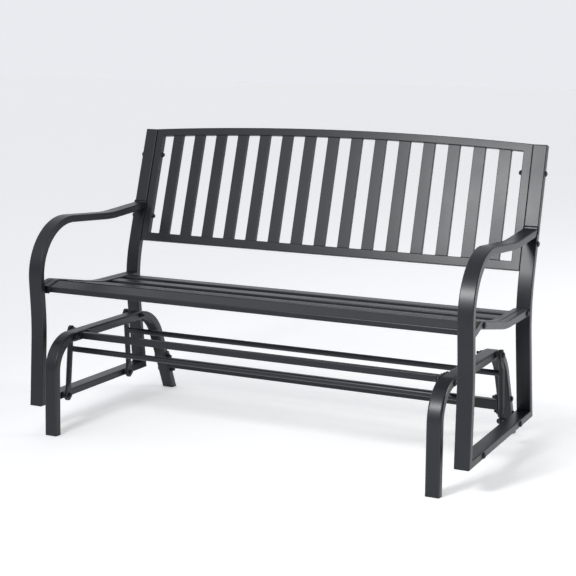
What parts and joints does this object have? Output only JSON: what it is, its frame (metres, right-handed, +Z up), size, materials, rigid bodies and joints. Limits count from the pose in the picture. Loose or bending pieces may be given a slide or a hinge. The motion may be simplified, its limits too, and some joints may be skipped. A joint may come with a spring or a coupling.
{
  "type": "glider bench",
  "caption": "Steel glider bench with arched slatted back, slatted seat and bent tube arms, hung by swing links from a low bent tube stand.",
  "frame": {"origin": "on the floor, at the centre of the bench's overall width and depth", "axes": "+X along the bench to the right as seen from the front, +Y from front to back, +Z up"},
  "size_m": [1.28, 0.6536, 0.8259],
  "materials": {
    "powder_coated_steel": "satin black powder coat",
    "blackened_steel": "black coated fasteners",
    "black_plastic": "moulded black plastic",
    "black_nylon": "black nylon bushes"
  },
  "bodies": {
    "base": {"crossbar_bolts": "blackened_steel", "front_crossbar": "powder_coated_steel", "left_front_foot_cap": "black_plastic", "left_rear_foot_cap": "black_plastic", "left_stand_tube": "powder_coated_steel", "rear_crossbar": "powder_coated_steel", "right_front_foot_cap": "black_plastic", "right_rear_foot_cap": "black_plastic", "right_stand_tube": "powder_coated_steel", "stand_nuts": "blackened_steel", "upper_pivot_bolts": "blackened_steel"},
    "front_swing": {"front_swing_bar": "powder_coated_steel", "front_swing_bushes": "black_nylon", "left_front_link": "powder_coated_steel", "right_front_link": "powder_coated_steel"},
    "rear_swing": {"left_rear_link": "powder_coated_steel", "rear_swing_bar": "powder_coated_steel", "rear_swing_bushes": "black_nylon", "right_rear_link": "powder_coated_steel"},
    "bench": {"back_bolts": "blackened_steel", "back_bottom_rail": "powder_coated_steel", "back_slat_01": "powder_coated_steel", "back_slat_02": "powder_coated_steel", "back_slat_03": "powder_coated_steel", "back_slat_04": "powder_coated_steel", "back_slat_05": "powder_coated_steel", "back_slat_06": "powder_coated_steel", "back_slat_07": "powder_coated_steel", "back_slat_08": "powder_coated_steel", "back_slat_09": "powder_coated_steel", "back_slat_10": "powder_coated_steel", "back_slat_11": "powder_coated_steel", "back_slat_12": "powder_coated_steel", "back_slat_13": "powder_coated_steel", "back_slat_14": "powder_coated_steel", "back_slat_15": "powder_coated_steel", "back_top_rail": "powder_coated_steel", "bench_cap_nuts": "blackened_steel", "left_back_stile": "powder_coated_steel", "left_bottom_rail": "powder_coated_steel", "left_front_leg_arm": "powder_coated_steel", "left_post_cap": "black_plastic", "left_rear_post": "powder_coated_steel", "left_seat_end_bar": "powder_coated_steel", "left_seat_rail": "powder_coated_steel", "lower_pivot_bolts": "blackened_steel", "right_back_stile": "powder_coated_steel", "right_bottom_rail": "powder_coated_steel", "right_front_leg_arm": "powder_coated_steel", "right_post_cap": "black_plastic", "right_rear_post": "powder_coated_steel", "right_seat_end_bar": "powder_coated_steel", "right_seat_rail": "powder_coated_steel", "seat_bolts": "blackened_steel", "seat_slat_1": "powder_coated_steel", "seat_slat_2": "powder_coated_steel", "seat_slat_3": "powder_coated_steel", "seat_slat_4": "powder_coated_steel", "seat_slat_5": "powder_coated_steel", "seat_slat_6": "powder_coated_steel"}
  },
  "joints": [
    {"name": "front_swing_hinge", "type": "hinge", "parent": "base", "child": "front_swing", "pos_m": [0, -0.181, 0.263], "axis": [1, 0, 0], "range_deg": [-10, 10]},
    {"name": "rear_swing_hinge", "type": "hinge", "parent": "base", "child": "rear_swing", "pos_m": [0, 0.104, 0.263], "axis": [1, 0, 0], "range_deg": [-10, 10]},
    {"name": "bench_hinge", "type": "hinge", "parent": "front_swing", "child": "bench", "pos_m": [0, -0.197, 0.08], "axis": [1, 0, 0], "range_deg": [-9, 9]}
  ],
  "couplings": [
    {"joint": "rear_swing_hinge", "follows": "front_swing_hinge", "ratio": 1},
    {"joint": "bench_hinge", "follows": "front_swing_hinge", "ratio": -0.8994}
  ]
}
